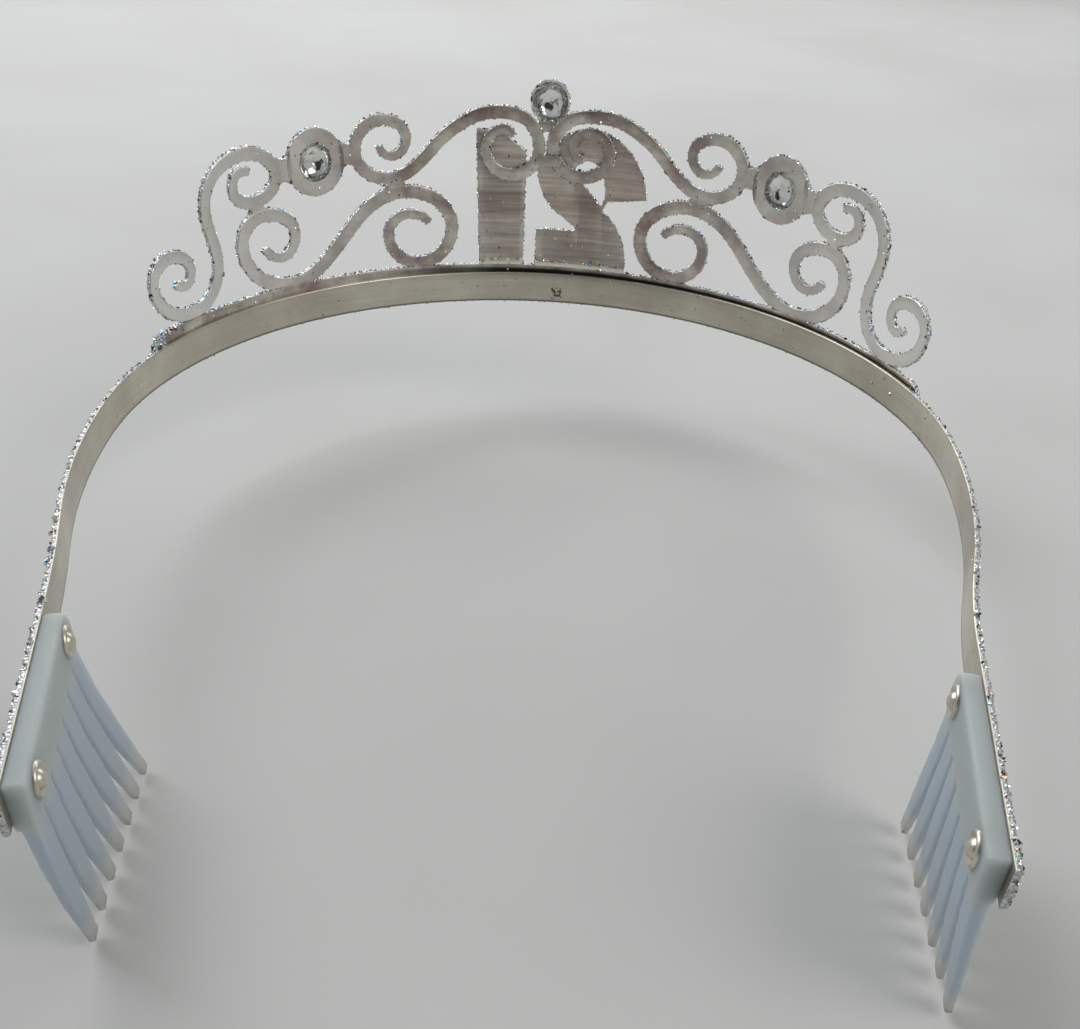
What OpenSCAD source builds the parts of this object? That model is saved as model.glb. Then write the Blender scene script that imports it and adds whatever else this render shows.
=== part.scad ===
// Number tiara: a bent strip head band with a scrolled crest, two numerals and two side combs.
// The front arc of the band is centred on the origin, with its lower edge at height 0.
// The front of the tiara faces -Y and the arms run back towards +Y.
// Crest shapes are drawn flat, as [along the band, height above the band, heading],
// and are then laid round the front arc.

/* [Head band] */
// Width of the band strip
band_w = 5.5; // [4.5:0.5:7.5]
// Thickness of the band strip
band_t = 0.8; // [0.6:0.1:1.2]
// Radius of the front arc, to the inner face
front_r = 64; // [62:1:80]
// Length of the front arc, from the centre to its end
front_len = 101; // [92:1:110]
// Radius of the arc behind the temples
temple_r = 124; // [100:1:150]
// Length of the arc behind the temples
temple_len = 35; // [26:1:42]
// Length of the slow outward bend before the combs
flare_len = 18; // [12:1:26]
// Outward bend of the right arm, in degrees
flare_right = 4; // [2:0.5:10]
// Outward bend of the left arm, in degrees
flare_left = 8; // [2:0.5:10]

/* [Rail] */
// Length of the rail under the crest
rail_len = 168; // [160:1:180]
// Height of the rail strip
rail_w = 6; // [4.5:0.5:7]
// How far the rail stands above the band
rail_rise = 1.2; // [0.8:0.1:1.6]

/* [Crest] */
// Thickness of the crest strips and of the rail
strip_t = 0.8; // [0.6:0.1:1.2]
// Width of the arch and outer scroll strips
scroll_w = 2.1; // [1.4:0.1:2.2]
// Width of the base scroll strips
base_w = 2.3; // [1.6:0.1:2.4]
// Width of a scroll's tip, as a share of its strip
tip_share = 0.6; // [0.4:0.05:1]
// Slope of the crest against the band, in degrees, up on the right
crest_roll = 0.4; // [0:0.1:1.5]
// Reach of the crest's right half, as a share of the left half's
right_share = 0.98; // [0.97:0.01:1]
// Diameter of the side discs
disc_d = 11; // [9:0.5:11.5]
// Diameter of the hollow in each disc
disc_dome_d = 6.2; // [4:0.2:7]
// Depth of the hollow in each disc
disc_dome_h = 2.2; // [1:0.1:3]
// Diameter of the top dome
top_dome_d = 7.2; // [6:0.2:8]
// Depth of the top dome
top_dome_h = 2.5; // [1.8:0.1:3.2]
// Wall of the pressed domes
dome_wall = 0.4; // [0.3:0.05:0.6]
// Thickness of the small bridges that join neighbouring strips
bridge_t = 0.6; // [0.4:0.1:1]

/* [Numerals] */
// Thickness of the numeral plates
numeral_t = 0.7; // [0.5:0.1:1.2]
// How far the numerals lap down over the rail
numeral_lap = 4; // [2:0.5:4]

/* [Combs] */
// Length of each comb along the arm
comb_len = 31.5; // [26:0.5:38]
// Bare arm between the bend and the right comb
gap_right = 2; // [2:0.5:8]
// Bare arm between the bend and the left comb
gap_left = 4; // [2:0.5:8]
// Bare end of the arm past the comb
arm_tip = 1; // [0.5:0.5:4]
// Thickness of the comb's spine
spine_t = 2.4; // [1.8:0.1:3]
// How far the spine's edge reaches past the band's lower edge
spine_drop = 0.6; // [0:0.1:1.5]
// Number of teeth in a comb
tooth_count = 7; // [5:1:9]
// Length of a tooth below the spine
tooth_len = 19; // [14:1:26]
// Thickness of a tooth at its root
tooth_t = 1.8; // [1.2:0.1:2]
// Gap between neighbouring teeth at the root
tooth_gap = 0.6; // [0.5:0.1:1.6]
// Thickness of a tooth at its tip
tip_t = 0.9; // [0.6:0.1:1.2]
// Width of a tooth's square tip
tip_w = 2.2; // [1.6:0.1:3]
// Where a tooth starts to narrow, as a share of its length
tooth_waist = 0.6; // [0.3:0.05:0.8]
// Lean of the right comb's teeth towards the head, in degrees
lean_right = 12; // [0:1:22]
// Lean of the left comb's teeth towards the head, in degrees
lean_left = 0; // [0:1:22]
// How much more the front teeth lean, and the rear teeth less, in degrees
lean_fan = 5; // [0:1:6]

/* [Rivets] */
// Diameter of the rivet shanks
rivet_d = 2.2; // [1.6:0.1:2.8]
// Clearance between shank and hole, all round
rivet_clear = 0.05; // [0.02:0.01:0.15]
// Diameter of the domed heads on the comb
head_d = 4; // [3.2:0.1:4.6]
// Height of the domed heads
head_h = 0.9; // [0.5:0.1:1.4]
// Height of the flat heads on the band's outer face
foot_h = 0.5; // [0.3:0.1:0.8]
// Distance from each end of the comb to its rivet
rivet_inset = 4; // [3:0.5:6]

/* [Hidden] */
$fn = 64;
silver = [0.72, 0.70, 0.67];
taupe = [0.62, 0.58, 0.56];
milk = [0.80, 0.86, 0.88];
nickel = [0.66, 0.64, 0.58];

deg = 180 / PI;
left = -1;
right = 1;

// Layers outwards from the band's inner face
rail_in = band_t;
rail_out = rail_in + strip_t;
plate_out = rail_out + numeral_t;
bridge_out = rail_out + bridge_t;

// Centres of the round pieces on the crest, flat
disc_at = [43.5, 21.2];
dome_at = [0, 29.6];

// Half of the crest, as knots of [along, up, heading] at the strips' centre lines.
// An arc turns a quarter or less between two knots.
arch_knots = [
    [9.2, 27.9, -360], [15.6, 26.2, -390], [21.0, 22.2, -406],
    [29.4, 17.2, -360], [35.8, 22.2, -270], [30.6, 27.0, -180], [26.1, 23.9, -90],
    [28.8, 21.0, 0], [31.2, 22.8, 80]];
curl_left = [
    [6.3, 20.6, 180], [4.4, 22.4, 90], [7.6, 25.2, 0], [11.1, 21.8, -90],
    [6.2, 17.6, -180], [0.7, 22.6, -270], [2.8, 26.3, -315]];
curl_right = [
    [6.4, 24.0, 50], [8.0, 25.2, 0], [11.5, 21.8, -90],
    [6.6, 17.4, -180], [1.7, 22.0, -270], [3.4, 26.2, -315]];
base_knots = [
    [22.2, 9.2, 50], [26.2, 10.9, 0], [30.1, 7.4, -90], [24.2, 1.9, -180],
    [17.8, 8.2, -270], [26.8, 14.9, -360], [37.6, 9.2, -407], [50.0, 1.5, -360],
    [59.7, 9.6, -270], [54.8, 14.1, -180], [48.5, 10.2, -90], [51.7, 6.5, 0],
    [55.0, 8.6, 65]];
outer_knots = [
    [56.6, 21.5, 20], [58.4, 21.7, 0], [60.3, 19.2, -90], [56.4, 16.6, -180],
    [51.3, 20.2, -270], [57.4, 24.4, -360], [66.7, 17.0, -450], [65.3, 9.0, -450],
    [72.0, 2.2, -360], [81.1, 8.8, -270], [76.6, 12.2, -180], [71.6, 9.2, -90],
    [73.6, 6.9, 0], [75.6, 7.8, 50]];
span_steps = 6;
taper_steps = 20;

// ---- laying flat shapes round the band ----

// The angle round the front arc of a place on the crest
function crest_angle(s) = (s > 0 ? s * right_share : s) / front_r * deg;

// A place at s along the band, z above its upper edge and off outwards from its inner face
function lay(s, z, off) =
    let (a = crest_angle(s), x = (front_r + off) * sin(a))
    [x, -(front_r + off) * cos(a), band_w + z + x * tan(crest_roll)];

// Length of a curve's handle, as a share of its reach, for the angle that it turns
function handle_share(turn) = 0.333 + 0.22 * pow(turn / 90, 2);

function bezier(a, b, c, d, t) =
    pow(1 - t, 3) * a + 3 * t * pow(1 - t, 2) * b + 3 * t * t * (1 - t) * c + pow(t, 3) * d;

function bezier_way(a, b, c, d, t) =
    pow(1 - t, 2) * (b - a) + 2 * t * (1 - t) * (c - b) + t * t * (d - c);

// Centre line and direction between two knots: [along, up, way along, way up]
function span(p, q, steps) =
    let (
        a = [p[0], p[1]],
        d = [q[0], q[1]],
        out = [cos(p[2]), sin(p[2])],
        back = [cos(q[2]), sin(q[2])],
        share = handle_share(q[2] - p[2]),
        reach_a = max(abs((d - a) * out), norm(d - a) / 4) * share,
        reach_d = max(abs((d - a) * back), norm(d - a) / 4) * share,
        b = a + out * reach_a,
        c = d - back * reach_d
    )
    [for (i = [0 : steps])
        let (
            t = i / steps,
            at = bezier(a, b, c, d, t),
            way = bezier_way(a, b, c, d, t)
        )
        concat(at, way / norm(way))];

function centre_line(knots) = [
    for (i = [0 : len(knots) - 2])
        let (points = span(knots[i], knots[i + 1], span_steps))
        for (j = [(i == 0 ? 0 : 1) : span_steps])
            points[j]];

function taper(i, last) =
    tip_share + (1 - tip_share) * min(1, min(i, last - i) / taper_steps);

// Faces of a solid skinned over sections of four corners each
function skin_faces(sections) = concat(
    [[0, 1, 2, 3]],
    [for (i = [0 : len(sections) - 2])
        for (j = [0 : 3])
            let (k = (j + 1) % 4)
            for (face = [[4 * i + j, 4 * i + 4 + j, 4 * i + k], [4 * i + k, 4 * i + 4 + j, 4 * i + 4 + k]])
                face],
    [[for (j = [3 : -1 : 0]) 4 * (len(sections) - 1) + j]]);

module skin(sections) {
    polyhedron([for (section = sections) for (corner = section) corner], skin_faces(sections), convexity = 8);
}

// A strip along knots, on one side, sitting flat on the rail where it reaches down to it
module strip(knots, side, width) {
    line = centre_line(knots);
    last = len(line) - 1;
    sections = [for (i = [0 : last])
        let (
            half = width * taper(i, last) / 2,
            inner = [line[i][0] + line[i][3] * half, max(rail_rise, line[i][1] - line[i][2] * half)],
            outer = [line[i][0] - line[i][3] * half, max(rail_rise, line[i][1] + line[i][2] * half)]
        )
        [lay(side * inner[0], inner[1], rail_in), lay(side * inner[0], inner[1], rail_out),
            lay(side * outer[0], outer[1], rail_out), lay(side * outer[0], outer[1], rail_in)]];
    skin(side > 0 ? sections : [for (s = sections) [s[3], s[2], s[1], s[0]]]);
}

// The curved space between two layers, from below the band to above the crest
module layer(inner, outer) {
    rotate_extrude()
        translate([front_r + inner, -band_w])
            square([outer - inner, 60]);
}

// Faces a child that is drawn in X and Z, and runs along Y, at a place on the crest
module facing(at, side) {
    middle = lay(side * at[0], at[1], 0);
    rotate([0, 0, crest_angle(side * at[0])])
        translate([0, -front_r, middle[2]])
            children();
}

// A flat outline in [x, height above the band], cut from one layer
module plate(inner, outer) {
    intersection() {
        layer(inner, outer);
        translate([0, 0, band_w])
            rotate([0, -crest_roll, 0])
                rotate([90, 0, 0])
                    linear_extrude(front_r + 10)
                        children();
    }
}

function ellipse_arc(cx, cy, rx, ry, from, to, steps) =
    [for (i = [0 : steps])
        let (a = from + (to - from) * i / steps)
        [cx + rx * cos(a), cy + ry * sin(a)]];

// ---- head band and rail ----

front_turn = front_len / front_r * deg;
temple_turn = front_turn + temple_len / temple_r * deg;
function flare(side) = side > 0 ? flare_right : flare_left;
function flare_r(side) = flare_len / flare(side) * deg;
function arm_turn(side) = temple_turn - flare(side);
function gap(side) = side > 0 ? gap_right : gap_left;
function arm_len(side) = gap(side) + comb_len + arm_tip;

// A unit step outwards from the band where it has turned by an angle
function outwards(turn) = [sin(turn), -cos(turn)];

temple_centre = (front_r - temple_r) * outwards(front_turn);
function flare_centre(side) = temple_centre + (temple_r + flare_r(side)) * outwards(temple_turn);
function arm_start(side) = flare_centre(side) - flare_r(side) * outwards(arm_turn(side));

// One side of the band in plan, off outwards from its inner face
function band_side(side, off) = concat(
    [for (i = [0 : 40])
        (front_r + off) * outwards(front_turn * i / 40)],
    [for (i = [1 : 10])
        temple_centre + (temple_r + off) * outwards(front_turn + (temple_turn - front_turn) * i / 10)],
    [for (i = [1 : 4])
        flare_centre(side) - (flare_r(side) - off) * outwards(temple_turn - flare(side) * i / 4)],
    [arm_start(side) + off * outwards(arm_turn(side))
        + arm_len(side) * [cos(arm_turn(side)), sin(arm_turn(side))]]);

function mirrored(points) = [for (i = [len(points) - 1 : -1 : 1]) [-points[i][0], points[i][1]]];

function reversed(list) = [for (i = [len(list) - 1 : -1 : 0]) list[i]];

// Puts a child on the straight arm: X runs back along it, Y outwards from its inner face
module on_arm(side) {
    mirror([side < 0 ? 1 : 0, 0, 0])
        translate([arm_start(side)[0], arm_start(side)[1], 0])
            rotate([0, 0, arm_turn(side)])
                mirror([0, 1, 0])
                    children();
}

function rivet_places(side) = [gap(side) + rivet_inset, gap(side) + comb_len - rivet_inset];

module rivet_hole(place) {
    translate([place, -spine_t - 1, band_w / 2])
        rotate([-90, 0, 0])
            cylinder(d = rivet_d + 2 * rivet_clear, h = spine_t + band_t + 2);
}

module headband() {
    color(silver)
        difference() {
            linear_extrude(band_w)
                polygon(concat(
                    mirrored(band_side(left, band_t)), band_side(right, band_t),
                    reversed(band_side(right, 0)), reversed(mirrored(band_side(left, 0)))));
            for (side = [left, right])
                on_arm(side)
                    for (place = rivet_places(side))
                        rivet_hole(place);
        }
}

// Half the height of the rail at a distance from its end, so that the ends are round
rail_r = rail_w / 2;
function rail_half(from_end) =
    from_end >= rail_r ? rail_r : max(rail_r / 10, sqrt(rail_r * rail_r - pow(rail_r - from_end, 2)));

module crest_rail() {
    half = rail_len / 2;
    middle = rail_rise - rail_r;
    rounding = [for (share = [0, 0.1, 0.3, 0.6]) share * rail_r];
    stations = concat(
        [for (d = rounding) d - half],
        [for (i = [0 : 54]) (i / 27 - 1) * (half - rail_r)],
        [for (d = reversed(rounding)) half - d]);
    color(taupe)
        skin([for (s = stations)
            let (h = rail_half(half - abs(s)))
            [lay(s, middle - h, rail_in), lay(s, middle - h, rail_out),
                lay(s, middle + h, rail_out), lay(s, middle + h, rail_in)]]);
}

// ---- crest ----

module arch_scroll_left() {
    color(taupe)
        strip(concat(curl_left, arch_knots), left, scroll_w);
}

module arch_scroll_right() {
    color(taupe)
        strip(concat(curl_right, arch_knots), right, scroll_w);
}

module base_scroll(side) {
    color(taupe)
        strip(base_knots, side, base_w);
}

module outer_scroll(side) {
    color(taupe)
        strip(outer_knots, side, scroll_w);
}

// A pressed dome: open at the back, crowned at the front, its axis along Z
module dome(diameter, height) {
    r = diameter / 2;
    inner = [for (a = [0 : 15 : 90]) [r * cos(a), height * sin(a)]];
    outer = [for (a = [90 : -15 : 0]) [(r + dome_wall) * cos(a), (height + dome_wall) * sin(a)]];
    rotate_extrude()
        polygon(concat(inner, outer));
}

module disc(side) {
    color(taupe)
        union() {
            difference() {
                intersection() {
                    layer(rail_in, rail_out);
                    facing(disc_at, side)
                        rotate([90, 0, 0])
                            cylinder(d = disc_d, h = 10, center = true);
                }
                facing(disc_at, side)
                    rotate([90, 0, 0])
                        cylinder(d = disc_dome_d, h = 10, center = true);
            }
            facing(disc_at, side)
                rotate([90, 0, 0])
                    translate([0, 0, rail_out - strip_t / 2])
                        dome(disc_dome_d, disc_dome_h);
        }
}

module top_dome() {
    color(silver)
        facing(dome_at, right)
            rotate([90, 0, 0])
                translate([0, 0, bridge_out])
                    dome(top_dome_d - 2 * dome_wall, top_dome_h);
}

// A small plate that laps over two neighbours: [from, to] along the crest and [low, high] up it
module bridge(along, up, side, inner, outer) {
    intersection() {
        layer(inner, outer);
        facing([(along[0] + along[1]) / 2, (up[0] + up[1]) / 2], side)
            cube([along[1] - along[0], 12, up[1] - up[0]], center = true);
    }
}

// How far a bridge laps over the rim of a disc or of the dome
rim_lap = 0.5;

module bridges(side) {
    disc_near = disc_at[0] - disc_d / 2 + rim_lap;
    disc_far = disc_at[0] + disc_d / 2 - rim_lap;
    color(taupe)
        for (item = [
                [[35.9, disc_near], [20.6, 23.2]],
                [[disc_far, 51.4], [19.7, 22.3]],
                [[54.3, 56.9], [14.5, 16.3]],
                [[26.7, 29.7], [15.4, 16.8]]])
            bridge(item[0], item[1], side, rail_out, bridge_out);
}

// The top dome stands on a bridge between the arches, and a second one joins the curls below
module bridges_centre() {
    dome_low = dome_at[1] - top_dome_d / 2;
    color(taupe) {
        bridge([-2.4, 3], [24.8, dome_low + rim_lap], right, rail_out, bridge_out);
        bridge([-2.2, 2.2], [19.3, 21.1], right, rail_in - bridge_t, rail_in);
    }
}

// ---- numerals ----

two_right = 1.8;
two_left = -15.5;
two_bar = 7.8;
one_from = 4.2;
one_to = 12.4;
lip_h = 0.8;
plate_foot = rail_rise - numeral_lap;

module two_outline() {
    difference() {
        polygon(concat(
            [[two_left, plate_foot], [two_right, plate_foot],
                [two_right, two_bar], [-5.8, two_bar], [-5.2, 8.8]],
            ellipse_arc(-6.2, 18.6, 8.1, 9, -68, 0, 8),
            ellipse_arc(-7.6, 13, 11, 12.6, 45, 172, 16),
            [[-11.2, 13.6], [-10.8, 12.6]],
            ellipse_arc(-7.5, 1.5, 8, 11, 110, 180, 8)));
        polygon(concat(
            [[-6.4, 16.4], [-10.2, 12.6], [-10.8, 13.8], [-10.8, 15.5]],
            ellipse_arc(-7.5, 17.6, 2.9, 2.8, 180, 0, 10)));
    }
}

module one_outline() {
    polygon([[one_from, plate_foot], [one_to, plate_foot],
        [13.3, 24.8], [9.2, 24.8], [one_from, 21.4]]);
}

// The plate's foot is folded back over the top of the rail
module lip(from, to) {
    plate(rail_in, rail_out)
        translate([from, rail_rise])
            square([to - from, lip_h]);
}

module numeral_two() {
    color(silver) {
        plate(rail_out, plate_out)
            two_outline();
        lip(two_left, two_right);
    }
}

module numeral_one() {
    color(silver) {
        plate(rail_out, plate_out)
            one_outline();
        lip(one_from, one_to);
    }
}

// ---- combs ----

module tooth(side, i, middle_lean) {
    pitch = comb_len / tooth_count;
    middle = gap(side) + pitch * (i + 0.5);
    lean = middle_lean + lean_fan * (1 - 2 * i / (tooth_count - 1));
    root_w = pitch - tooth_gap;
    skin([for (share = [-0.08, tooth_waist / 2, tooth_waist, (1 + tooth_waist) / 2, 1])
        let (
            down = tooth_len * share,
            t = tooth_t + (tip_t - tooth_t) * max(0, share),
            w = root_w + (tip_w - root_w) * max(0, (share - tooth_waist) / (1 - tooth_waist)),
            y = -spine_t / 2 - max(0, down) * tan(lean) * (0.7 + 0.3 * share),
            z = -spine_drop - down
        )
        [[middle - w / 2, y - t / 2, z], [middle - w / 2, y + t / 2, z],
            [middle + w / 2, y + t / 2, z], [middle + w / 2, y - t / 2, z]]]);
}

module comb(side, lean) {
    height = band_w + spine_drop;
    start = gap(side);
    color(milk)
        on_arm(side) {
            difference() {
                union() {
                    translate([start + height / 2, -spine_t, -spine_drop])
                        cube([comb_len - height / 2, spine_t, height]);
                    translate([start + height / 2, 0, band_w - height / 2])
                        rotate([90, 0, 0])
                            cylinder(d = height, h = spine_t);
                    translate([start, -spine_t, -spine_drop])
                        cube([height, spine_t, height / 2]);
                }
                for (place = rivet_places(side))
                    rivet_hole(place);
            }
            for (i = [0 : tooth_count - 1])
                tooth(side, i, lean);
        }
}

module comb_left() {
    comb(left, lean_left);
}

module comb_right() {
    comb(right, lean_right);
}

// ---- rivets ----

module rivet(side, place) {
    cap_r = (pow(head_d / 2, 2) + head_h * head_h) / (2 * head_h);
    color(nickel)
        on_arm(side)
            translate([place, 0, band_w / 2])
                rotate([-90, 0, 0]) {
                    translate([0, 0, -spine_t])
                        cylinder(d = rivet_d, h = spine_t + band_t);
                    translate([0, 0, band_t])
                        cylinder(d = head_d, h = foot_h);
                    intersection() {
                        translate([0, 0, -spine_t - head_h + cap_r])
                            sphere(r = cap_r);
                        translate([0, 0, -spine_t - head_h])
                            cylinder(d = head_d + 1, h = head_h);
                    }
                }
}

headband();
crest_rail();
outer_scroll(left);  // outer_scroll_left
outer_scroll(right);  // outer_scroll_right
base_scroll(left);  // base_scroll_left
base_scroll(right);  // base_scroll_right
arch_scroll_left();
arch_scroll_right();
disc(left);  // disc_left
disc(right);  // disc_right
top_dome();
bridges(left);  // bridges_left
bridges(right);  // bridges_right
bridges_centre();
numeral_two();
numeral_one();
comb_left();
comb_right();
rivet(left, rivet_places(left)[0]);  // front_rivet_left
rivet(right, rivet_places(right)[0]);  // front_rivet_right
rivet(left, rivet_places(left)[1]);  // rear_rivet_left
rivet(right, rivet_places(right)[1]);  // rear_rivet_right
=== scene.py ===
import math

import bmesh
import bpy
from mathutils import Matrix, Vector, noise


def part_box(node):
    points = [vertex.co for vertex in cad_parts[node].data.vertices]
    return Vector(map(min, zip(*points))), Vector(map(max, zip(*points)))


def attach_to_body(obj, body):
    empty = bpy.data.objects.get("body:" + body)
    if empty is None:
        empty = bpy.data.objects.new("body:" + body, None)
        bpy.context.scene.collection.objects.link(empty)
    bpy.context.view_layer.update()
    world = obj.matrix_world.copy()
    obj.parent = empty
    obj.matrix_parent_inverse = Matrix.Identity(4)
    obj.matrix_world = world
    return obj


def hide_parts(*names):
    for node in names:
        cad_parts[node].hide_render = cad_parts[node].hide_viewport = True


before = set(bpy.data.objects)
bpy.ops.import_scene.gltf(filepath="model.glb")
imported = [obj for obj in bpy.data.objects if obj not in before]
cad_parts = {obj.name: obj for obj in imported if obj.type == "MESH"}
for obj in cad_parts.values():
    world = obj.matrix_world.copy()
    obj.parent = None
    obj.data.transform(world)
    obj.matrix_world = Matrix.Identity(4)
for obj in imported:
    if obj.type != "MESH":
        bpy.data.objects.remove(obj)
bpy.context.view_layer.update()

mm = 0.001
scene = bpy.context.scene
print("stage: frame loaded")

# The crest's foot line: the band's top edge, rising a little towards +x
crestLine = dict(foot=5.5 * mm, slope=math.tan(math.radians(0.4)))


def addObject(name, mesh):
    piece = bpy.data.objects.new(name, mesh)
    scene.collection.objects.link(piece)
    return piece


def meshFrom(name, points, faces):
    mesh = bpy.data.meshes.new(name)
    mesh.from_pydata(points, [], faces)
    mesh.update()
    return mesh


def bake(piece):
    graph = bpy.context.evaluated_depsgraph_get()
    graph.update()
    mesh = bpy.data.meshes.new_from_object(piece.evaluated_get(graph), depsgraph=graph)
    piece.modifiers.clear()
    old = piece.data
    piece.data = mesh
    bpy.data.meshes.remove(old)


def smoothShade(piece, angle):
    piece.data.shade_smooth()
    piece.data.set_sharp_from_angle(angle=math.radians(angle))


def dress(piece, *looks):
    for look in looks:
        piece.data.materials.append(look.material)


# Merges points nearer than merge, drops faces thinner than thin, and turns the normals outwards
def cleanMesh(mesh, merge=0, thin=0):
    work = bmesh.new()
    work.from_mesh(mesh)
    if merge:
        bmesh.ops.remove_doubles(work, verts=work.verts, dist=merge)
    if thin:
        bmesh.ops.dissolve_degenerate(work, edges=work.edges, dist=thin)
    bmesh.ops.recalc_face_normals(work, faces=work.faces)
    work.to_mesh(mesh)
    work.free()


copyLimits = dict(merge=0.002 * mm, thin=0.001 * mm)


def mergedCopy(node, name):
    piece = addObject(name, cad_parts[node].data.copy())
    cleanMesh(piece.data, **copyLimits)
    piece.data.materials.clear()
    return piece


def attach(piece, slot, *nodes):
    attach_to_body(piece, "root")
    if nodes:
        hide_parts(*nodes)


# One material and its shader nodes. Most methods add a node and return its output.
class Look:
    def __init__(self, name):
        self.material = bpy.data.materials.new(name)
        self.material.use_nodes = True
        self.nodes = self.material.node_tree.nodes
        self.links = self.material.node_tree.links
        self.shader = self.nodes["Principled BSDF"]
        self.place = self.nodes.new("ShaderNodeTexCoord").outputs["Object"]

    def fixed(self, **values):
        for key, value in values.items():
            self.shader.inputs[key.replace("_", " ")].default_value = value

    def feed(self, **outputs):
        for key, output in outputs.items():
            self.join(output, self.shader.inputs[key.replace("_", " ")])

    def join(self, output, target):
        self.links.new(output, target)

    def scaled(self, scale=(1, 1, 1)):
        node = self.nodes.new("ShaderNodeMapping")
        node.inputs["Scale"].default_value = scale
        self.join(self.place, node.inputs["Vector"])
        return node.outputs["Vector"]

    def noise(self, vector, scale, detail, rough):
        node = self.nodes.new("ShaderNodeTexNoise")
        node.inputs["Scale"].default_value = scale
        node.inputs["Detail"].default_value = detail
        node.inputs["Roughness"].default_value = rough
        self.join(vector, node.inputs["Vector"])
        return node.outputs["Fac"]

    def cells(self, scale):
        node = self.nodes.new("ShaderNodeTexVoronoi")
        node.inputs["Scale"].default_value = scale
        self.join(self.scaled(), node.inputs["Vector"])
        return node.outputs

    def ramp(self, value, *stops):
        node = self.nodes.new("ShaderNodeValToRGB")
        self.join(value, node.inputs["Fac"])
        marks = node.color_ramp.elements
        while len(marks) < len(stops):
            marks.new(0.5)
        for mark, (at, shade) in zip(marks, stops):
            mark.position = at
            mark.color = (*shade, 1) if isinstance(shade, tuple) else (shade, shade, shade, 1)
        return node.outputs["Color"]

    def mix(self, share, a, b, kind="MIX"):
        node = self.nodes.new("ShaderNodeMix")
        node.data_type = "RGBA"
        node.blend_type = kind
        for value, socket in ((share, node.inputs[0]), (a, node.inputs[6]), (b, node.inputs[7])):
            if isinstance(value, bpy.types.NodeSocket):
                self.join(value, socket)
            elif isinstance(value, tuple):
                socket.default_value = (*value, 1)
            else:
                socket.default_value = value
        return node.outputs[2]

    def maths(self, kind, a, b=0.0, c=0.0):
        node = self.nodes.new("ShaderNodeMath")
        node.operation = kind
        for value, socket in zip((a, b, c), node.inputs):
            if isinstance(value, bpy.types.NodeSocket):
                self.join(value, socket)
            else:
                socket.default_value = value
        return node.outputs[0]

    def bump(self, height, strength, distance):
        node = self.nodes.new("ShaderNodeBump")
        node.inputs["Strength"].default_value = strength
        node.inputs["Distance"].default_value = distance
        self.join(height, node.inputs["Height"])
        self.join(node.outputs["Normal"], self.shader.inputs["Normal"])

    def axis(self, letter):
        node = self.nodes.new("ShaderNodeSeparateXYZ")
        self.join(self.place, node.inputs["Vector"])
        return node.outputs[letter]

    def crestHeight(self):
        level = self.maths("MULTIPLY_ADD", self.axis("X"), -crestLine["slope"], -crestLine["foot"])
        return self.maths("ADD", self.axis("Z"), level)

    # 1 between low and high and 0 outside, with each edge blended over the width soft
    def between(self, value, low, high, soft):
        sides = []
        for slope, edge in ((1 / soft, -low / soft), (-1 / soft, high / soft)):
            rise = self.maths("MULTIPLY_ADD", value, slope, 0.5 + edge)
            sides.append(self.maths("MAXIMUM", self.maths("SMOOTH_MIN", 1.0, rise, 0.1), 0.0))
        return self.maths("MULTIPLY", *sides)

    def retint(self, share, shade, kind="MIX"):
        tint = self.shader.inputs["Base Color"].links[0].from_socket
        self.feed(Base_Color=self.mix(share, tint, shade, kind))


# Bare back of the crest: satin metal with purple-brown tarnish and fine level brushing
def tarnishedLook(name, settings):
    look = Look(name)
    patches = look.noise(look.scaled(), settings["patchScale"], 4, 0.6)
    tones = (settings["dark"], settings["middle"], settings["light"])
    tint = look.ramp(patches, *zip(settings["patchStops"], tones))
    grain = look.noise(look.scaled(settings["brushStretch"]), settings["brushScale"], 3, 0.6)
    tint = look.mix(settings["brushShare"], tint, look.ramp(grain, *settings["brushStops"]), "MULTIPLY")
    fleck = look.noise(look.scaled(), settings["fleckScale"], 2, 0.7)
    tint = look.mix(look.ramp(fleck, *settings["fleckStops"]), tint, settings["fleck"])
    span = settings["roughSpan"]
    rough = look.maths("MULTIPLY_ADD", patches, -span, settings["rough"] + span / 2)
    look.feed(Base_Color=tint, Roughness=rough)
    look.fixed(Metallic=settings["metal"])
    look.bump(grain, settings["bump"], settings["bumpDepth"])
    return look


# In all looks a zone is its start, its end and the width of its soft edges
crestSettings = dict(patchScale=150, patchStops=(0.36, 0.52, 0.66), dark=(0.37, 0.28, 0.26),
                     middle=(0.59, 0.53, 0.47), light=(0.80, 0.76, 0.68),
                     brushStretch=(1, 1, 4), brushScale=300, brushShare=0.4,
                     brushStops=((0.3, 0.45), (0.7, 1.0)),
                     fleckScale=1400, fleckStops=((0.68, 0.0), (0.74, 0.7)), fleck=(0.12, 0.08, 0.07),
                     metal=0.9, rough=0.40, roughSpan=0.3, bump=0.3, bumpDepth=0.05 * mm)
crestLook = tarnishedLook("tarnishedSilver", crestSettings)

# Less tarnish towards the ends of the crest
endSettings = dict(zone=(44 * mm, 200 * mm, 40 * mm), tint=(0.86, 0.84, 0.80))
fromMiddle = crestLook.maths("ABSOLUTE", crestLook.axis("X"))
crestLook.retint(crestLook.between(fromMiddle, *endSettings["zone"]), endSettings["tint"])

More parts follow.
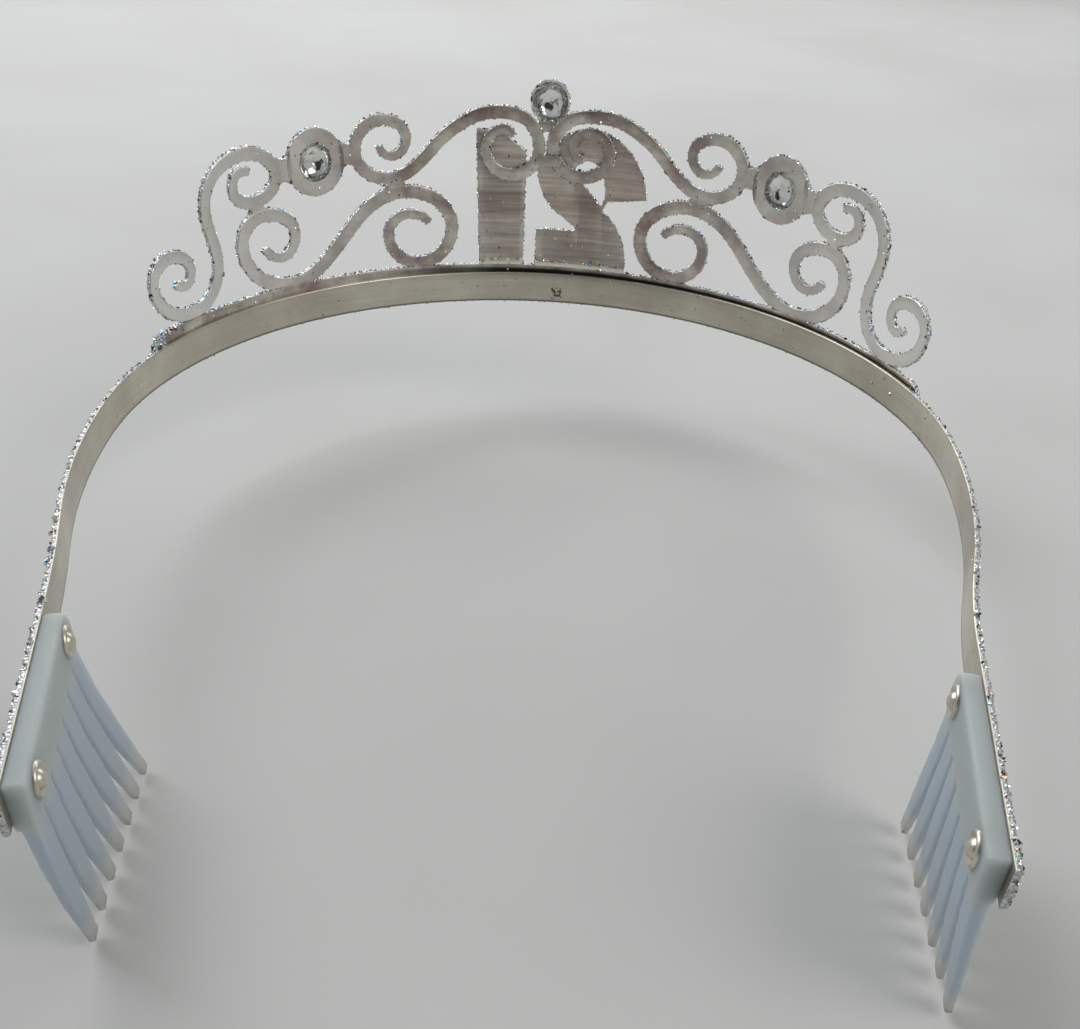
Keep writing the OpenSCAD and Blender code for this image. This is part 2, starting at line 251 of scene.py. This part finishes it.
# Painted shadow: the rail's face is painted dark where it meets the band, in the gap's shade, away from its
# free end
railShadowSettings = dict(heightZone=(-9 * mm, 0.75 * mm, 0.5 * mm), alongZone=(-90 * mm, 24 * mm, 30 * mm),
                    tint=(0.02, 0.018, 0.014))
railLook = tarnishedLook("tarnishedRailPaintedShadow", crestSettings)
shadowNearBand = railLook.between(railLook.crestHeight(), *railShadowSettings["heightZone"])
fromFreeEnd = railLook.between(railLook.axis("X"), *railShadowSettings["alongZone"])
railLook.retint(railLook.maths("MULTIPLY", shadowNearBand, fromFreeEnd), railShadowSettings["tint"])

# Numerals: level tarnish streaks, each with its start, end and share, and a painted highlight at the foot,
# where the folded lip catches the light
numeralSettings = dict(crestSettings, patchScale=90, dark=(0.72, 0.61, 0.54), middle=(0.86, 0.77, 0.67),
                       light=(0.95, 0.89, 0.79), brushStretch=(0.25, 0.25, 5), brushShare=0.75,
                       streaks=((10.5 * mm, 15 * mm, 0.55), (2.6 * mm, 4.2 * mm, 0.25)), streakSoft=2 * mm,
                       streakTint=(0.48, 0.40, 0.38), foldHighlightZone=(0, 2.1 * mm, 0.3 * mm),
                       foldHighlightTint=(0.86, 0.80, 0.68))
numeralLook = tarnishedLook("brushedTarnishPaintedHighlight", numeralSettings)
for low, high, share in numeralSettings["streaks"]:
    streak = numeralLook.between(numeralLook.crestHeight(), low, high, numeralSettings["streakSoft"])
    streak = numeralLook.maths("MULTIPLY", streak, share)
    numeralLook.retint(streak, numeralSettings["streakTint"], "MULTIPLY")
# Painted highlight: a lighter strip along the numerals' foot stands in for the folded lip catching the light
footHighlight = numeralLook.between(numeralLook.crestHeight(), *numeralSettings["foldHighlightZone"])
numeralLook.retint(footHighlight, numeralSettings["foldHighlightTint"])

# Inner face of the band: cleaner and smoother, a little scratched, with a few specks and a painted shadow
# along its lower edge
bandSettings = dict(crestSettings, patchScale=40, dark=(0.52, 0.48, 0.405), middle=(0.61, 0.57, 0.48),
                    light=(0.71, 0.67, 0.57), brushStretch=(0.2, 0.2, 9), brushScale=420, brushShare=0.25,
                    fleckScale=900, rough=0.34, bump=0.12,
                    edgeShadeZone=(-1 * mm, 0.42 * mm, 0.2 * mm), edgeShadeShare=0.75, edgeShadeTint=(0.10, 0.09, 0.075))
bandLook = tarnishedLook("bareSilver", bandSettings)
lowerEdgeShade = bandLook.between(bandLook.axis("Z"), *bandSettings["edgeShadeZone"])
bandLook.retint(bandLook.maths("MULTIPLY", lowerEdgeShade, bandSettings["edgeShadeShare"]), bandSettings["edgeShadeTint"])

# A small cluster of dark pits near the middle of the band
pitSettings = dict(x=-2.6 * mm, z=1.8 * mm, zone=(-1 * mm, 1.1 * mm, 0.3 * mm), scale=1700,
                   stops=((0.52, 0.0), (0.58, 0.9)), tint=(0.10, 0.06, 0.04))
fromPits = []
for letter in "xz":
    away = bandLook.maths("SUBTRACT", bandLook.axis(letter.upper()), pitSettings[letter])
    fromPits.append(bandLook.maths("ABSOLUTE", away))
nearPits = bandLook.between(bandLook.maths("MAXIMUM", *fromPits), *pitSettings["zone"])
pits = bandLook.ramp(bandLook.noise(bandLook.scaled(), pitSettings["scale"], 1, 0.5), *pitSettings["stops"])
bandLook.retint(bandLook.maths("MULTIPLY", nearPits, pits), pitSettings["tint"])


# Bright metal whose tint and roughness vary a little with wear. Roughness is its least value and its span.
def wornLook(name, settings):
    look = Look(name)
    look.fixed(Metallic=1.0)
    wear = look.noise(look.scaled(), settings["scale"], 2, 0.5)
    least, span = settings["rough"]
    rough = look.maths("MULTIPLY_ADD", wear, span, least)
    look.feed(Base_Color=look.ramp(wear, *settings["stops"]), Roughness=rough)
    if "bump" in settings:
        look.bump(wear, *settings["bump"])
    return look


# Pressed domes and discs' hollows: nearly chrome, and slightly uneven
domeSettings = dict(scale=330, rough=(0.09, 0.15), bump=(1.0, 0.7 * mm),
                    stops=((0.35, (0.70, 0.69, 0.64)), (0.6, (0.95, 0.95, 0.92))))
domeLook = wornLook("brightSilver", domeSettings)

# Rivets: warm nickel
nickelSettings = dict(scale=250, rough=(0.32, 0.08),
                      stops=((0.35, (0.60, 0.56, 0.47)), (0.65, (0.72, 0.68, 0.59))))
nickelLook = wornLook("nickel", nickelSettings)

# Coat under the glitter: fine crumbs
crumbSettings = dict(scale=2600, stops=((0.1, 0.85), (0.8, 0.42)), metal=0.8, rough=0.32,
                     bump=(0.8, 0.2 * mm))
coatLook = Look("glitterCoat")
crumbDistance = coatLook.cells(crumbSettings["scale"])["Distance"]
coatLook.feed(Base_Color=coatLook.ramp(crumbDistance, *crumbSettings["stops"]))
coatLook.fixed(Metallic=crumbSettings["metal"], Roughness=crumbSettings["rough"])
coatLook.bump(crumbDistance, *crumbSettings["bump"])

# The grains themselves: dark, grey and white, with a few coloured ones
grainSettings = dict(scale=1500, metal=0.9, rough=0.2, stops=(
    (0.0, (0.05, 0.05, 0.05)), (0.18, (0.22, 0.21, 0.20)), (0.40, (0.70, 0.69, 0.67)),
    (0.66, (0.92, 0.92, 0.90)), (0.72, (0.35, 0.78, 0.90)), (0.78, (0.30, 0.45, 0.95)),
    (0.82, (0.92, 0.92, 0.90)), (0.88, (0.95, 0.62, 0.35)), (0.93, (0.35, 0.85, 0.60)),
    (0.98, (0.92, 0.60, 0.70))))
grainLook = Look("glitterGrain")
cellSplit = grainLook.nodes.new("ShaderNodeSeparateColor")
grainLook.join(grainLook.cells(grainSettings["scale"])["Color"], cellSplit.inputs["Color"])
grainLook.feed(Base_Color=grainLook.ramp(cellSplit.outputs[0], *grainSettings["stops"]))
grainLook.fixed(Metallic=grainSettings["metal"], Roughness=grainSettings["rough"])
print("stage: materials")

# The band's path, the same arcs as the CAD's. Side is 1 for right and -1 for left, s runs from the middle.
pathSizes = dict(frontR=64 * mm, frontLen=101 * mm, templeR=124 * mm, templeLen=35 * mm, flareLen=18 * mm,
                 flare={1: 4.0, -1: 8.0}, gap={1: 2 * mm, -1: 4 * mm}, combLen=31.5 * mm, armTip=1 * mm)


def outwards(turn):
    return Vector((math.sin(turn), -math.cos(turn)))


def pathPoint(side, s):
    p = pathSizes
    frontTurn = p["frontLen"] / p["frontR"]
    templeTurn = frontTurn + p["templeLen"] / p["templeR"]
    flare = math.radians(p["flare"][side])
    flareR = p["flareLen"] / flare
    templeCentre = (p["frontR"] - p["templeR"]) * outwards(frontTurn)
    flareCentre = templeCentre + (p["templeR"] + flareR) * outwards(templeTurn)
    if s < p["frontLen"]:
        turn = s / p["frontR"]
        at = p["frontR"] * outwards(turn)
    elif s < p["frontLen"] + p["templeLen"]:
        turn = frontTurn + (s - p["frontLen"]) / p["templeR"]
        at = templeCentre + p["templeR"] * outwards(turn)
    elif s < p["frontLen"] + p["templeLen"] + p["flareLen"]:
        turn = templeTurn - (s - p["frontLen"] - p["templeLen"]) / flareR
        at = flareCentre - flareR * outwards(turn)
    else:
        turn = templeTurn - flare
        past = s - p["frontLen"] - p["templeLen"] - p["flareLen"]
        at = flareCentre - flareR * outwards(turn) + past * Vector((math.cos(turn), math.sin(turn)))
    out = outwards(turn)
    return Vector((side * at.x, at.y)), Vector((side * out.x, out.y))


def armLength(side):
    p = pathSizes
    return p["frontLen"] + p["templeLen"] + p["flareLen"] + p["gap"][side] + p["combLen"] + p["armTip"]


# Faces between neighbouring rings of count points each
def stitched(rings, count):
    faces = []
    for i in range(rings - 1):
        for j in range(count):
            k = (j + 1) % count
            faces.append((i * count + j, i * count + k, (i + 1) * count + k, (i + 1) * count + j))
    return faces


# Head band: a rounded strip with a slight ripple. Along the crest its top edge stays bare.
bandSizes = dict(width=crestLine["foot"], thick=0.8 * mm, round=0.22 * mm, step=1.2 * mm, ripple=0.03 * mm,
                 rippleAlong=60, rippleUp=120, rippleSeed=0.3, sharpAngle=50)
bandCoat = dict(crestEnd=-20 * mm, topEdge=5.3 * mm, dust=0.006)


def makeBand():
    b = bandSizes
    w, t, r = b["width"], b["thick"], b["round"]
    section = [(0, r), (0, w * 0.3), (0, w * 0.5), (0, w * 0.7), (0, w - r), (r * 0.3, w - r * 0.3), (r, w),
               (t - r, w), (t - r * 0.3, w - r * 0.3), (t, w - r), (t, w * 0.5), (t, r),
               (t - r * 0.3, r * 0.3), (t - r, 0), (r, 0), (r * 0.3, r * 0.3)]
    stations = []
    for side in (-1, 1):
        count = int(armLength(side) / b["step"])
        row = [(side, armLength(side) * i / count) for i in range(count + 1)]
        stations += row[:0:-1] if side < 0 else row
    points = []
    for side, s in stations:
        at, out = pathPoint(side, s)
        for n, z in section:
            phase = Vector((side * s * b["rippleAlong"], z * b["rippleUp"], b["rippleSeed"]))
            spot = at + out * (n + b["ripple"] * noise.noise(phase))
            points.append((spot.x, spot.y, z))
    ring = len(section)
    faces = stitched(len(stations), ring)
    faces.append(tuple(reversed(range(ring))))
    faces.append(tuple((len(stations) - 1) * ring + j for j in range(ring)))
    piece = addObject("bandLook", meshFrom("bandLook", points, faces))
    cleanMesh(piece.data)
    smoothShade(piece, b["sharpAngle"])
    return piece


# Faces that carry the coat: those that look outwards, and the edges.
# Dust is the little that strays onto the back.
coatSettings = dict(edgeFrom=-0.35, dust=0.025)


def markCoat(piece, outwardAt, weightAt=lambda point: 1.0, dust=coatSettings["dust"]):
    weights = []
    for face in piece.data.polygons:
        coated = face.normal.dot(outwardAt(face.center)) > coatSettings["edgeFrom"]
        weight = weightAt(face.center) if coated else 0.0
        face.material_index = 1 if weight > 0 else face.material_index
        weights.append(max(weight, dust))
    layer = piece.data.attributes.new("coat", "FLOAT", "FACE")
    layer.data.foreach_set("value", weights)


def radial(point):
    return Vector((point.x, point.y, 0)).normalized()


tableSizes = dict(reach=196, step=3)
pathTable = [(side, s * mm, *pathPoint(side, s * mm)) for side in (-1, 1)
             for s in range(0, tableSizes["reach"], tableSizes["step"])]


def bandOutward(point):
    near = min(pathTable, key=lambda row: (row[2].x - point.x) ** 2 + (row[2].y - point.y) ** 2)
    return Vector((near[3].x, near[3].y, 0))


def bandWeight(point):
    return 0.0 if point.y < bandCoat["crestEnd"] and point.z > bandCoat["topEdge"] else 1.0


band = makeBand()
dress(band, bandLook, coatLook)
markCoat(band, bandOutward, bandWeight, bandCoat["dust"])
attach(band, "bare_silver", "headband")
print("stage: band")

# Crest metal: smooth bevelled copies of the CAD pieces
crestNodes = ["crest_rail", "outer_scroll_left", "outer_scroll_right", "base_scroll_left",
              "base_scroll_right", "arch_scroll_left", "arch_scroll_right", "bridges_centre", "numeral_two",
              "numeral_one"]
crestSizes = dict(bevel=0.12 * mm, segments=2, bevelAngle=40, sharpAngle=35)

# The coat lies thicker at the rail's free end, and at the top of the numerals
railEnd = dict(x=59 * mm, back=61 * mm, weight=4.0)
numeralTop = dict(z=crestLine["foot"] + 24.2 * mm, weight=4.0)


def railWeight(point):
    return railEnd["weight"] if point.x > railEnd["x"] else 1.0


def numeralWeight(point):
    return numeralTop["weight"] if point.z > numeralTop["z"] else 1.0


def camelName(node):
    head, *rest = node.split("_")
    return head + "".join(word.capitalize() for word in rest) + "Look"


def makeMetal(node, look, slot, weightAt=lambda point: 1.0):
    piece = mergedCopy(node, camelName(node))
    bevel = piece.modifiers.new("bevel", "BEVEL")
    bevel.width = crestSizes["bevel"]
    bevel.segments = crestSizes["segments"]
    bevel.limit_method = "ANGLE"
    bevel.angle_limit = math.radians(crestSizes["bevelAngle"])
    bake(piece)
    dress(piece, look, coatLook)
    markCoat(piece, radial, weightAt)
    smoothShade(piece, crestSizes["sharpAngle"])
    attach(piece, slot, node)
    return piece


metalPieces = {}
for node in crestNodes:
    if node.startswith("numeral"):
        metalPieces[node] = makeMetal(node, numeralLook, "bare_silver", numeralWeight)
    elif node == "crest_rail":
        metalPieces[node] = makeMetal(node, railLook, "tarnished_silver", railWeight)
    else:
        metalPieces[node] = makeMetal(node, crestLook, "tarnished_silver")

# Discs and top dome: bright in the hollow, tarnished on a disc's ring
discSettings = dict(hollow=3.15 * mm, coat=0.6)


def fromAxis(node, point):
    low, high = (Vector(corner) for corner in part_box(node))
    centre = (low + high) / 2
    out = radial(centre)
    away = point - centre
    return (away - out * away.dot(out)).length


for node in ("disc_left", "disc_right", "top_dome"):
    piece = mergedCopy(node, camelName(node))
    smoothShade(piece, crestSizes["sharpAngle"])
    dress(piece, domeLook, coatLook, crestLook)
    for face in piece.data.polygons:
        onRing = node != "top_dome" and fromAxis(node, face.center) > discSettings["hollow"]
        face.material_index = 2 if onRing else 0
    markCoat(piece, radial, lambda point: discSettings["coat"])
    metalPieces[node] = piece
    attach(piece, "bright_silver" if node == "top_dome" else "tarnished_silver", node)

# Necks that join neighbouring strips, in place of the CAD's bridges at each side: narrow in the middle,
# wider where they run in. A place is how far along and up, in mm, then the half length, the half height
# at the middle and at the ends, and the tilt. Share draws the right side's necks a little to the middle.
neckSizes = dict(inner=0.83 * mm, outer=2.1 * mm, share={1: 0.98, -1: 1.0}, steps=8)
neckPlaces = [(37.2, 21.9, 1.6, 1.6, 2.3, 0), (50.0, 20.7, 1.7, 1.7, 2.4, 0),
              (55.7, 15.4, 0.9, 1.2, 1.9, 80), (28.3, 16.0, 0.9, 1.5, 2.3, 70)]


def neckOutline(halfLength, middle, end):
    steps = neckSizes["steps"]
    shares = [2 * i / steps - 1 for i in range(steps + 1)]
    upper = [(halfLength * t, middle + (end - middle) * t * t) for t in shares]
    return upper + [(u, -v) for u, v in reversed(upper)]


def addNeck(points, faces, side, s, z, halfLength, middle, end, tilt):
    start, outline = len(points), neckOutline(halfLength, middle, end)
    cosTilt, sinTilt = math.cos(math.radians(tilt)), math.sin(math.radians(tilt))
    for off in (neckSizes["inner"], neckSizes["outer"]):
        radius = pathSizes["frontR"] + off
        for u, v in outline:
            along = (s + u * cosTilt - v * sinTilt) * mm
            turn = side * along * neckSizes["share"][side] / pathSizes["frontR"]
            x = radius * math.sin(turn)
            height = crestLine["foot"] + (z + u * sinTilt + v * cosTilt) * mm + x * crestLine["slope"]
            points.append((x, -radius * math.cos(turn), height))
    count = len(outline)
    faces.append([start + i for i in range(count)])
    faces.append([start + count + i for i in reversed(range(count))])
    for i in range(count):
        after = (i + 1) % count
        faces.append([start + i, start + count + i, start + count + after, start + after])


for side, word in ((-1, "left"), (1, "right")):
    points, faces = [], []
    for place in neckPlaces:
        addNeck(points, faces, side, *place)
    neck = addObject("necks" + word.capitalize(), meshFrom("necks", points, faces))
    cleanMesh(neck.data)
    dress(neck, crestLook, coatLook)
    markCoat(neck, radial)
    metalPieces["necks_" + word] = neck
    attach(neck, "tarnished_silver", "bridges_" + word)
print("stage: crest metal")

# Glitter: grains scattered on coated faces, each turned and stretched at random. A grain is a sphere
# one unit wide, scaled by size and by a random amount between sizeLeast and sizeMost on each axis.
glitterSettings = dict(bandDensity=2.0e6, crestDensity=4.0e6, size=0.55 * mm, bandSeed=3, crestSeed=11,
                       radius=0.5, turnMost=(6.28, 6.28, 6.28), sizeLeast=(0.45, 0.35, 0.3),
                       sizeMost=(1.4, 1.15, 0.8))
flakeSettings = dict(railDensity=4.0e6, railSize=1.0 * mm, railSeed=5, armDensity=6.0e4, armSize=1.2 * mm,
                     armSeed=8, armStart=30 * mm)


# A random vector for each grain, between least and most
def randomVector(add, least, most):
    node = add("FunctionNodeRandomValue")
    node.data_type = "FLOAT_VECTOR"
    node.inputs[0].default_value = least
    node.inputs[1].default_value = most
    return node


def makeGrainTree():
    tree = bpy.data.node_groups.new("glitterScatter", "GeometryNodeTree")
    sockets = tree.interface
    sockets.new_socket("Geometry", in_out="OUTPUT", socket_type="NodeSocketGeometry")
    sockets.new_socket("Geometry", in_out="INPUT", socket_type="NodeSocketGeometry")
    for label, kind in (("Density", "NodeSocketFloat"), ("Grain Size", "NodeSocketFloat"),
                        ("Seed", "NodeSocketInt"), ("Material", "NodeSocketMaterial")):
        sockets.new_socket(label, in_out="INPUT", socket_type=kind)
    add, link = tree.nodes.new, tree.links.new
    start, end = add("NodeGroupInput"), add("NodeGroupOutput")
    coat = add("GeometryNodeInputNamedAttribute")
    coat.data_type = "FLOAT"
    coat.inputs["Name"].default_value = "coat"
    density = add("ShaderNodeMath")
    density.operation = "MULTIPLY"
    link(coat.outputs["Attribute"], density.inputs[0])
    link(start.outputs["Density"], density.inputs[1])
    spread = add("GeometryNodeDistributePointsOnFaces")
    link(start.outputs["Geometry"], spread.inputs["Mesh"])
    link(density.outputs[0], spread.inputs["Density"])
    link(start.outputs["Seed"], spread.inputs["Seed"])
    grain = add("GeometryNodeMeshIcoSphere")
    grain.inputs["Radius"].default_value = glitterSettings["radius"]
    grain.inputs["Subdivisions"].default_value = 1
    turn = randomVector(add, (0, 0, 0), glitterSettings["turnMost"])
    link(start.outputs["Seed"], turn.inputs["Seed"])
    size = randomVector(add, glitterSettings["sizeLeast"], glitterSettings["sizeMost"])
    link(start.outputs["Seed"], size.inputs["Seed"])
    sized = add("ShaderNodeVectorMath")
    sized.operation = "SCALE"
    link(size.outputs[0], sized.inputs[0])
    link(start.outputs["Grain Size"], sized.inputs["Scale"])
    copies = add("GeometryNodeInstanceOnPoints")
    link(spread.outputs["Points"], copies.inputs["Points"])
    link(grain.outputs["Mesh"], copies.inputs["Instance"])
    link(turn.outputs[0], copies.inputs["Rotation"])
    link(sized.outputs[0], copies.inputs["Scale"])
    solid = add("GeometryNodeRealizeInstances")
    link(copies.outputs[0], solid.inputs[0])
    dressed = add("GeometryNodeSetMaterial")
    link(solid.outputs[0], dressed.inputs["Geometry"])
    link(start.outputs["Material"], dressed.inputs["Material"])
    link(dressed.outputs[0], end.inputs[0])
    return tree


grainTree = makeGrainTree()
grainInputs = {item.name: item.identifier for item in grainTree.interface.items_tree
               if item.in_out == "INPUT"}


def scatter(source, name, density, size, seed):
    piece = addObject(name, source.data.copy())
    nodes = piece.modifiers.new("glitter", "NODES")
    nodes.node_group = grainTree
    nodes[grainInputs["Density"]] = float(density)
    nodes[grainInputs["Grain Size"]] = float(size)
    nodes[grainInputs["Seed"]] = seed
    nodes[grainInputs["Material"]] = grainLook.material
    bake(piece)
    attach(piece, "bright_silver")


scatter(band, "bandGlitter", glitterSettings["bandDensity"], glitterSettings["size"],
        glitterSettings["bandSeed"])
for index, (node, piece) in enumerate(metalPieces.items()):
    scatter(piece, camelName(node).replace("Look", "Glitter"), glitterSettings["crestDensity"],
            glitterSettings["size"], glitterSettings["crestSeed"] + index)


# Larger flakes: a clump at the rail's free end, and a few along the outside of the arms
def flakes(source, name, within, density, size, seed):
    copy = addObject(name + "Source", source.data.copy())
    layer = copy.data.attributes["coat"]
    for face in copy.data.polygons:
        coated = layer.data[face.index].value > 0.5
        layer.data[face.index].value = 1.0 if within(face.center, coated) else 0.0
    scatter(copy, name, density, size, seed)
    bpy.data.objects.remove(copy)


def onRailEnd(point, coated):
    return point.x > (railEnd["x"] if coated else railEnd["back"])


def onArm(point, coated):
    return coated and point.y > flakeSettings["armStart"]


flakes(metalPieces["crest_rail"], "railEndFlakes", onRailEnd, flakeSettings["railDensity"],
       flakeSettings["railSize"], flakeSettings["railSeed"])
flakes(band, "armFlakes", onArm, flakeSettings["armDensity"],
       flakeSettings["armSize"], flakeSettings["armSeed"])
print("stage: glitter")

# Combs: moulded milky plastic, clearer towards the tips of the teeth. Depth is 1 at the band's lower edge.
combSettings = dict(voxel=0.24 * mm, passes=6, ease=0.5, deep=20 * mm, cloudScale=130, cloudShare=0.12,
                    tintStops=((0.02, (0.50, 0.47, 0.41)), (0.13, (0.52, 0.53, 0.52)),
                               (0.24, (0.36, 0.41, 0.46)), (0.85, (0.38, 0.44, 0.50)),
                               (0.97, (0.44, 0.49, 0.48))),
                    clearStops=((0.0, 0.6), (0.3, 0.25), (0.95, 0.15)), scatterScale=6 * mm)
combLook = Look("milkyPlastic")
depth = combLook.maths("MULTIPLY_ADD", combLook.axis("Z"), 1 / combSettings["deep"], 1.0)
cloud = combLook.noise(combLook.scaled(), combSettings["cloudScale"], 3, 0.5)
cloudShare = combSettings["cloudShare"]
cloudShift = combLook.maths("MULTIPLY_ADD", cloud, cloudShare, -cloudShare / 2)
depth = combLook.maths("ADD", depth, cloudShift)
combLook.feed(Base_Color=combLook.ramp(depth, *combSettings["tintStops"]),
              Transmission_Weight=combLook.ramp(depth, *combSettings["clearStops"]))
combLook.fixed(Roughness=0.5, IOR=1.4, Subsurface_Weight=1.0, Subsurface_Radius=(1, 1, 1),
               Subsurface_Scale=combSettings["scatterScale"])

for side in ("left", "right"):
    comb = mergedCopy("comb_" + side, "comb" + side.capitalize() + "Look")
    remesh = comb.modifiers.new("remesh", "REMESH")
    remesh.mode = "VOXEL"
    remesh.voxel_size = combSettings["voxel"]
    ease = comb.modifiers.new("ease", "SMOOTH")
    ease.factor = combSettings["ease"]
    ease.iterations = combSettings["passes"]
    bake(comb)
    comb.data.shade_smooth()
    dress(comb, combLook)
    attach(comb, "milky_plastic", "comb_" + side)
print("stage: combs")

# Rivets: a domed centre in a rolled ring. Ring rows are shares of the head's radius and of the ring's rise.
rivetSizes = dict(head=2.0 * mm, centre=1.15 * mm, rise=1.0 * mm, groove=0.2 * mm, ringRise=0.45 * mm,
                  shank=1.1 * mm, foot=0.5 * mm, spine=2.4 * mm, inset=4 * mm, turns=40, domeSteps=8,
                  domeTurn=0.2, ring=((0.78, 0.8), (0.86, 1.0), (0.94, 0.85), (1.0, 0.3)), sharpAngle=50)


def rivetProfile():
    r, back = rivetSizes, bandSizes["thick"]
    turns = [r["domeTurn"] * i for i in range(r["domeSteps"])]
    inner = [(r["centre"] * math.sin(turn), r["rise"] * math.cos(turn)) for turn in turns]
    inner += [(r["centre"] + 0.08 * mm, r["groove"] * 0.5), (r["centre"] + 0.2 * mm, r["groove"] * 0.6)]
    inner += [(r["head"] * wide, r["ringRise"] * high) for wide, high in r["ring"]]
    inner += [(r["head"], 0), (r["shank"], 0)]
    profile = [(radius, -r["spine"] - height) for radius, height in inner]
    profile += [(r["shank"], back), (r["head"], back), (r["head"], back + r["foot"] * 0.7),
                (r["head"] * 0.9, back + r["foot"]), (0, back + r["foot"])]
    return profile


def makeRivet(side, place, name, node):
    profile, turns = rivetProfile(), rivetSizes["turns"]
    at, out = pathPoint(side, place)
    along = Vector((-out.y, out.x)) if side > 0 else Vector((out.y, -out.x))
    points = []
    for radius, n in profile:
        for i in range(turns):
            angle = 2 * math.pi * i / turns
            spot = at + out * n + along * radius * math.cos(angle)
            points.append((spot.x, spot.y, bandSizes["width"] / 2 + radius * math.sin(angle)))
    rivet = addObject(name, meshFrom(name, points, stitched(len(profile), turns)))
    cleanMesh(rivet.data, merge=0.001 * mm)
    smoothShade(rivet, rivetSizes["sharpAngle"])
    dress(rivet, nickelLook)
    attach(rivet, "nickel", node)


for side, word in ((-1, "left"), (1, "right")):
    start = armLength(side) - pathSizes["armTip"] - pathSizes["combLen"]
    end = start + pathSizes["combLen"]
    makeRivet(side, start + rivetSizes["inset"], "frontRivet" + word.capitalize(), "front_rivet_" + word)
    makeRivet(side, end - rivetSizes["inset"], "rearRivet" + word.capitalize(), "rear_rivet_" + word)
print("stage: rivets")

# Floor: a pale matt sheet below the teeth
floorSettings = dict(level=-20.6 * mm, half=1.5, weaveScale=9,
                     stops=((0.35, (0.56, 0.555, 0.535)), (0.65, (0.60, 0.60, 0.58))))
floorLook = Look("paleFloor")
weave = floorLook.noise(floorLook.scaled(), floorSettings["weaveScale"], 3, 0.5)
floorLook.feed(Base_Color=floorLook.ramp(weave, *floorSettings["stops"]))
floorLook.fixed(Roughness=0.9, Specular_IOR_Level=0.2)
corners = [(x * floorSettings["half"], y * floorSettings["half"], floorSettings["level"])
           for x, y in ((-1, -1), (1, -1), (1, 1), (-1, 1))]
floor = addObject("floor", meshFrom("floor", corners, [(0, 1, 2, 3)]))
dress(floor, floorLook)


def areaLight(name, place, target, size, power, tint):
    lamp = bpy.data.lights.new(name, "AREA")
    lamp.shape = "RECTANGLE"
    lamp.size, lamp.size_y = size
    lamp.energy = power
    lamp.color = tint
    item = bpy.data.objects.new(name, lamp)
    scene.collection.objects.link(item)
    item.location = place
    item.rotation_euler = (Vector(target) - Vector(place)).to_track_quat("-Z", "Y").to_euler()


lightSettings = dict(key=4.2, fill=2.2, rim=1.6, world=0.40, worldTint=(0.93, 0.96, 1.0, 1))
areaLight("key", (0.5, -0.35, 0.75), (0, 0, 0), (0.6, 0.5), lightSettings["key"], (0.94, 0.97, 1.0))
areaLight("fill", (-0.6, 0.3, 0.6), (0, 0, 0), (0.5, 0.5), lightSettings["fill"], (1.0, 0.98, 0.94))
areaLight("rim", (0.0, -0.7, 0.35), (0, 0, 0.02), (0.9, 0.25), lightSettings["rim"], (1, 1, 1))

# A dark flag behind the camera, hidden from it, that darkens what the polished metal reflects
flagCorners = [(-0.10, 0.22, 0.03), (0.14, 0.22, 0.03), (0.12, 0.15, 0.24), (-0.07, 0.15, 0.24)]
flag = addObject("flag", meshFrom("flag", flagCorners, [(0, 1, 2, 3)]))
flagLook = Look("flag")
flagLook.fixed(Base_Color=(0.02, 0.017, 0.015, 1), Roughness=0.9)
dress(flag, flagLook)
flag.visible_camera = False

world = bpy.data.worlds.new("studio")
world.use_nodes = True
background = world.node_tree.nodes["Background"]
background.inputs["Color"].default_value = lightSettings["worldTint"]
background.inputs["Strength"].default_value = lightSettings["world"]
scene.world = world

cameraSettings = dict(place=(-0.0050, 0.1641, 0.0840), elevation=40.04, heading=-0.35, roll=2.83, lens=38.69,
                      rise=0.191, sensor=36, near=0.01)


def makeCamera():
    c = cameraSettings
    up, turn, roll = (math.radians(c[key]) for key in ("elevation", "heading", "roll"))
    back = Vector((math.sin(turn) * math.cos(up), math.cos(turn) * math.cos(up), math.sin(up)))
    level = Vector((0, 0, 1)).cross(back).normalized()
    right = level * math.cos(roll) + back.cross(level) * math.sin(roll)
    above = back.cross(right)
    data = bpy.data.cameras.new("camera")
    data.sensor_width = c["sensor"]
    data.lens = c["lens"]
    data.shift_y = c["rise"]
    data.clip_start = c["near"]
    camera = bpy.data.objects.new("camera", data)
    scene.collection.objects.link(camera)
    camera.matrix_world = Matrix.Translation(c["place"]) @ Matrix((right, above, back)).transposed().to_4x4()
    scene.camera = camera


makeCamera()
scene.view_settings.view_transform = "Standard"
scene.view_settings.look = "None"
print("stage: lights and camera")
